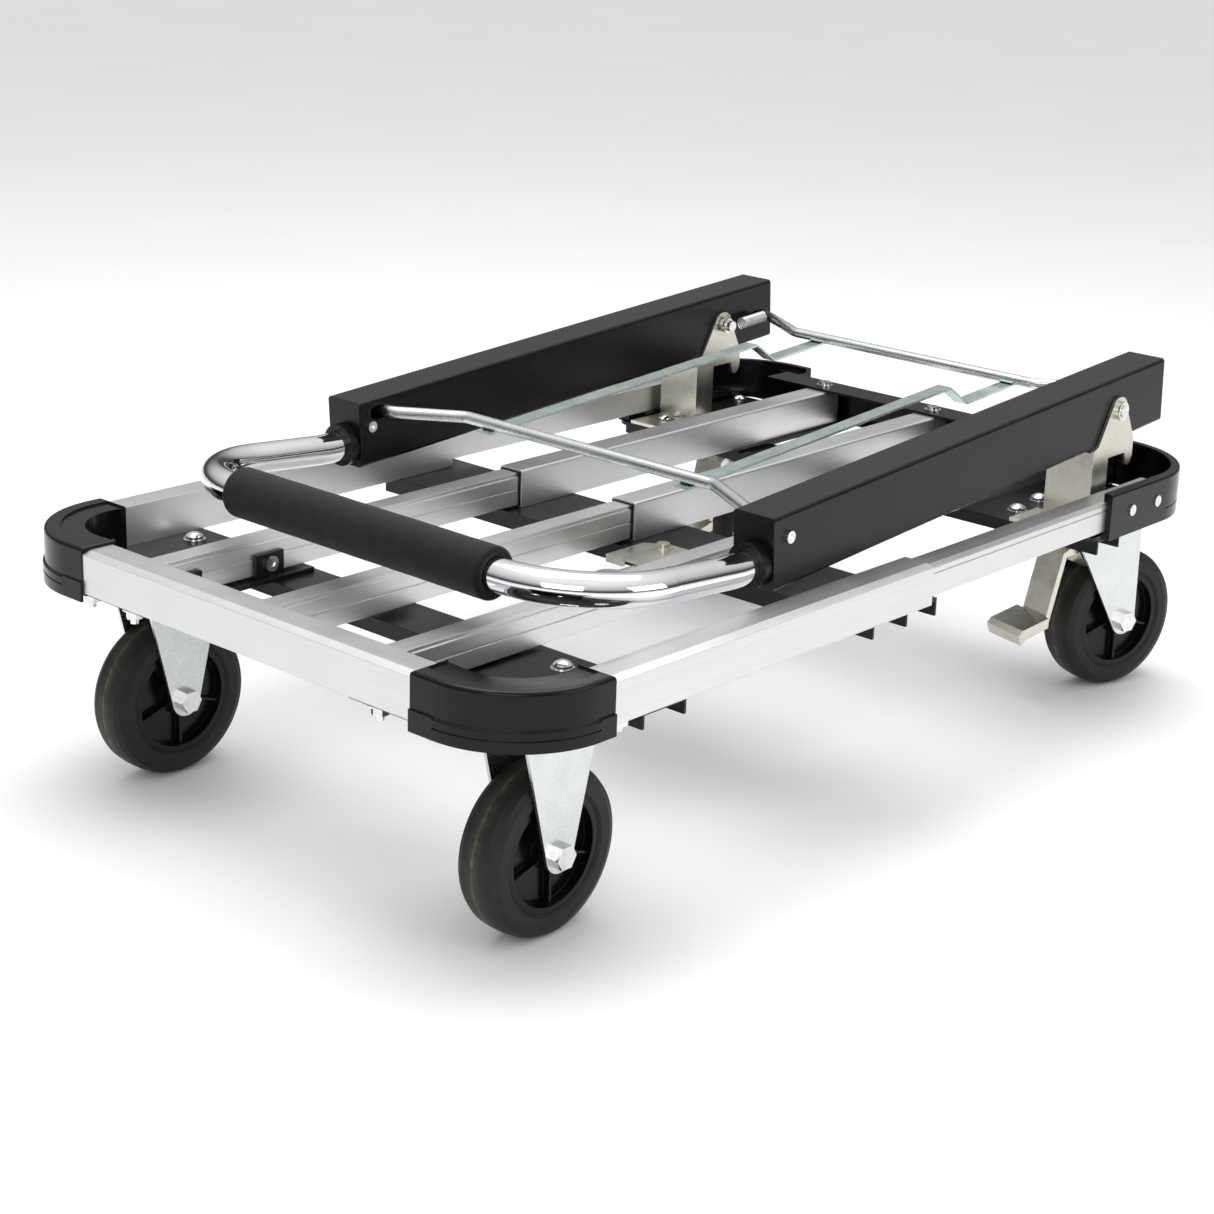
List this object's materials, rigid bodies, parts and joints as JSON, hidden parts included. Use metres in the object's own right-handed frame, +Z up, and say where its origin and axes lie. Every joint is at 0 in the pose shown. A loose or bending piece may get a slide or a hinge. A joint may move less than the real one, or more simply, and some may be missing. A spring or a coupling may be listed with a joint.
{
  "type": "folding platform cart",
  "caption": "Folding platform cart with an extending aluminium deck, fixed and swivel casters, and a telescopic U handle that folds down over the deck.",
  "frame": {"origin": "middle of the folded cart's footprint, on the floor", "axes": "+X along the deck towards the handle's hinge end, +Z up, -Y is the left side seen by the person pushing"},
  "size_m": [0.885, 0.5492, 0.2983],
  "materials": {
    "aluminium": "satin extruded",
    "cap": "moulded satin black",
    "black_steel": "powder coated black",
    "chrome": "polished",
    "foam": "closed-cell foam",
    "bushing": "moulded",
    "liner": "moulded",
    "bright_steel": "bright zinc plated",
    "zinc": "zinc plated",
    "tyre": "moulded rubber",
    "hub": "moulded"
  },
  "bodies": {
    "rear_frame": {"rear_side_rail_left": "aluminium", "rear_side_rail_right": "aluminium", "rear_corner_cap_left": "cap", "rear_corner_cap_right": "cap", "rear_caster_plate_left": "black_steel", "rear_caster_plate_right": "black_steel", "hinge_bracket_left": "zinc", "hinge_bracket_right": "zinc", "swivel_plate_left": "zinc", "swivel_plate_right": "zinc", "rear_mid_tube_left": "aluminium", "rear_mid_tube_centre": "aluminium", "rear_mid_tube_right": "aluminium", "mid_tube_liners": "liner", "rear_crossbar": "black_steel", "centre_cross_channel": "black_steel", "rear_cross_channel": "black_steel", "rear_bolts": "bright_steel", "hinge_pins": "bright_steel", "latch_bracket": "zinc"},
    "latch": {"latch_lever": "zinc"},
    "front_frame": {"front_crossbar": "aluminium", "front_mid_rail_left": "aluminium", "front_mid_rail_centre": "aluminium", "front_mid_rail_right": "aluminium", "front_cross_channel": "black_steel", "front_bolts": "bright_steel", "front_axles": "bright_steel", "front_side_rail_left": "aluminium", "front_side_rail_right": "aluminium", "front_corner_cap_left": "cap", "front_corner_cap_right": "cap", "front_caster_plate_left": "black_steel", "front_caster_plate_right": "black_steel", "front_fork_left": "zinc", "front_fork_right": "zinc"},
    "handle": {"handle_column_left": "black_steel", "handle_column_right": "black_steel", "column_bushings": "bushing", "column_screws": "bright_steel"},
    "telescope": {"handle_tube": "chrome", "foam_grip": "foam"},
    "release": {"release_rod_front": "zinc", "release_rod_rear": "zinc", "release_strips": "zinc", "release_springs": "zinc"},
    "front_wheel_left": {"front_tyre_left": "tyre", "front_hub_left": "hub"},
    "swivel_left": {"swivel_fork_left": "zinc", "rear_axle_left": "bright_steel"},
    "rear_wheel_left": {"rear_tyre_left": "tyre", "rear_hub_left": "hub"},
    "brake_left": {"brake_pedal_left": "zinc"},
    "front_wheel_right": {"front_tyre_right": "tyre", "front_hub_right": "hub"},
    "swivel_right": {"swivel_fork_right": "zinc", "rear_axle_right": "bright_steel"},
    "rear_wheel_right": {"rear_tyre_right": "tyre", "rear_hub_right": "hub"},
    "brake_right": {"brake_pedal_right": "zinc"}
  },
  "joints": [
    {"name": "deck_extension", "type": "slide", "parent": "rear_frame", "child": "front_frame", "axis": [-1, 0, 0], "range_m": [-0.205, 0]},
    {"name": "latch_turn", "type": "hinge", "parent": "rear_frame", "child": "latch", "pos_m": [-0.08, -0.06, 0.171], "axis": [0, 0, 1], "range_deg": [0, 20]},
    {"name": "handle_fold", "type": "hinge", "parent": "rear_frame", "child": "handle", "pos_m": [0.31437, 0, 0.26486], "axis": [0, 1, 0], "range_deg": [0, 98]},
    {"name": "handle_telescope", "type": "slide", "parent": "handle", "child": "telescope", "axis": [-0.9978, 0, -0.0668], "range_m": [0, 0.16]},
    {"name": "release_pull", "type": "slide", "parent": "handle", "child": "release", "axis": [-0.9978, 0, -0.0668], "range_m": [0, 0.008], "stiffness_N_per_m": 1500, "springref_m": -0.01},
    {"name": "front_wheel_spin_left", "type": "hinge", "parent": "front_frame", "child": "front_wheel_left", "pos_m": [-0.3453, -0.199, 0.0625], "axis": [0, 1, 0], "continuous": true},
    {"name": "swivel_turn_left", "type": "hinge", "parent": "rear_frame", "child": "swivel_left", "pos_m": [0.348, -0.199, 0.155], "axis": [0, 0, 1], "continuous": true},
    {"name": "rear_wheel_spin_left", "type": "hinge", "parent": "swivel_left", "child": "rear_wheel_left", "pos_m": [0.37876, -0.20782, 0.0625], "axis": [0.2756, 0.9613, 0], "continuous": true},
    {"name": "brake_press_left", "type": "hinge", "parent": "swivel_left", "child": "brake_left", "pos_m": [0.33166, -0.19431, 0.136], "axis": [-0.2756, -0.9613, 0], "range_deg": [0, 8]},
    {"name": "front_wheel_spin_right", "type": "hinge", "parent": "front_frame", "child": "front_wheel_right", "pos_m": [-0.3453, 0.199, 0.0625], "axis": [0, 1, 0], "continuous": true},
    {"name": "swivel_turn_right", "type": "hinge", "parent": "rear_frame", "child": "swivel_right", "pos_m": [0.348, 0.199, 0.155], "axis": [0, 0, 1], "continuous": true},
    {"name": "rear_wheel_spin_right", "type": "hinge", "parent": "swivel_right", "child": "rear_wheel_right", "pos_m": [0.38, 0.199, 0.0625], "axis": [0, 1, 0], "continuous": true},
    {"name": "brake_press_right", "type": "hinge", "parent": "swivel_right", "child": "brake_right", "pos_m": [0.331, 0.199, 0.136], "axis": [0, -1, 0], "range_deg": [0, 8]}
  ]
}
